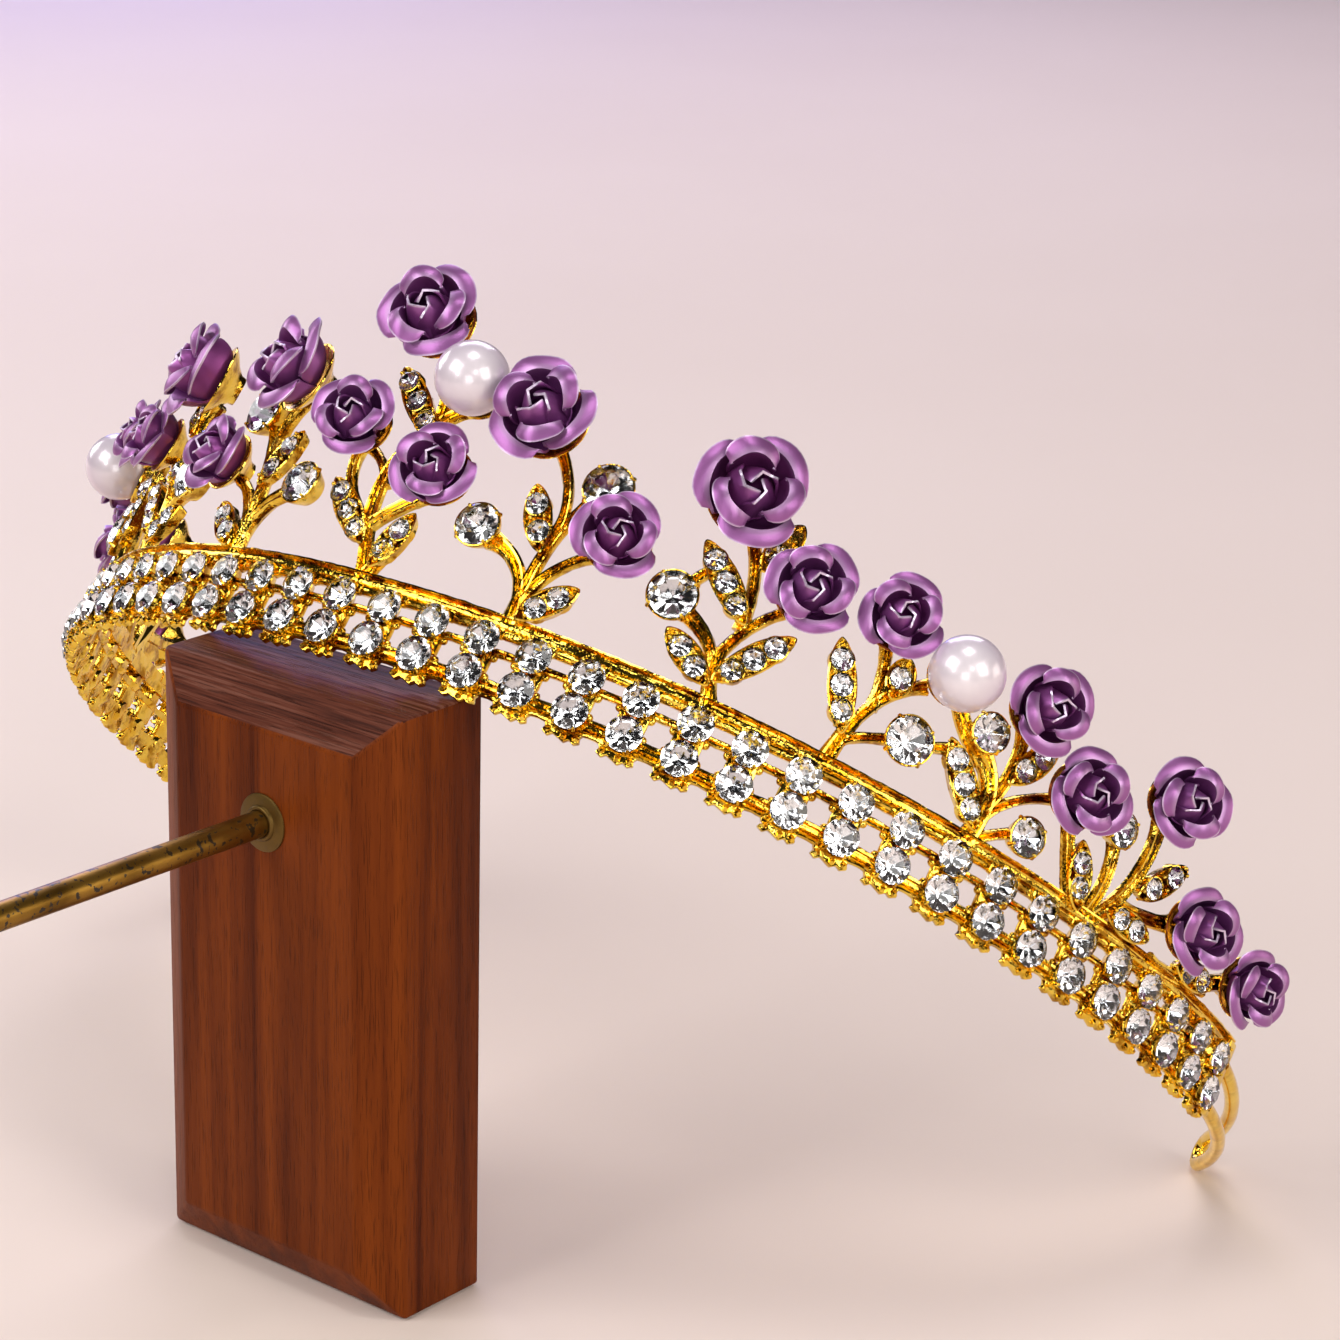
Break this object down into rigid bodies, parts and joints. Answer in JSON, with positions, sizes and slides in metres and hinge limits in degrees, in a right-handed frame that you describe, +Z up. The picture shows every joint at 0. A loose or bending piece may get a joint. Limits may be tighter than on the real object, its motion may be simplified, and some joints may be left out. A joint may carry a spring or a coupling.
{
  "type": "bridal crown on a wooden display block with a brass rod",
  "caption": "Curved gilt hair crown with two rows of clear stones, leafy sprays, metal roses and pearls, leaning over a wooden display block that has a brass rod",
  "frame": {"origin": "centre of the wooden block's foot, on the surface it stands on", "axes": "+Z up, +X to the right along the block's width as seen from its rod side, -Y the way the rod points; the crown's middle lies on the block's top and its two ends rest on the surface towards +Y"},
  "size_m": [0.1642, 0.1558, 0.1063],
  "materials": {
    "walnut": "oiled",
    "aged_brass": "aged satin",
    "gold_plate": "polished",
    "clear_stone": "cut and polished",
    "purple_rose": "satin anodised",
    "pearl": "pearl gloss"
  },
  "bodies": {
    "root": {"display_block": "walnut", "block_grommet": "aged_brass", "support_rod": "aged_brass", "crown_frame": "gold_plate", "upper_row_stones": "clear_stone", "lower_row_stones": "clear_stone", "leaf_stones": "clear_stone", "rose_1": "purple_rose", "rose_2": "purple_rose", "rose_3": "purple_rose", "rose_4": "purple_rose", "rose_5": "purple_rose", "rose_6": "purple_rose", "rose_7": "purple_rose", "rose_8": "purple_rose", "rose_9": "purple_rose", "rose_10": "purple_rose", "rose_11": "purple_rose", "rose_12": "purple_rose", "rose_13": "purple_rose", "rose_14": "purple_rose", "rose_15": "purple_rose", "rose_16": "purple_rose", "rose_17": "purple_rose", "rose_18": "purple_rose", "rose_19": "purple_rose", "rose_20": "purple_rose", "rose_21": "purple_rose", "rose_22": "purple_rose", "rose_23": "purple_rose", "pearl_1": "pearl", "pearl_2": "pearl", "pearl_3": "pearl", "right_stone_1": "clear_stone", "right_stone_2": "clear_stone", "right_stone_3": "clear_stone", "right_stone_4": "clear_stone", "right_stone_5": "clear_stone", "right_stone_6": "clear_stone", "right_stone_7": "clear_stone", "left_stone_1": "clear_stone", "left_stone_2": "clear_stone", "left_stone_3": "clear_stone", "left_stone_4": "clear_stone", "left_stone_5": "clear_stone", "left_stone_6": "clear_stone", "left_stone_7": "clear_stone"}
  },
  "joints": []
}
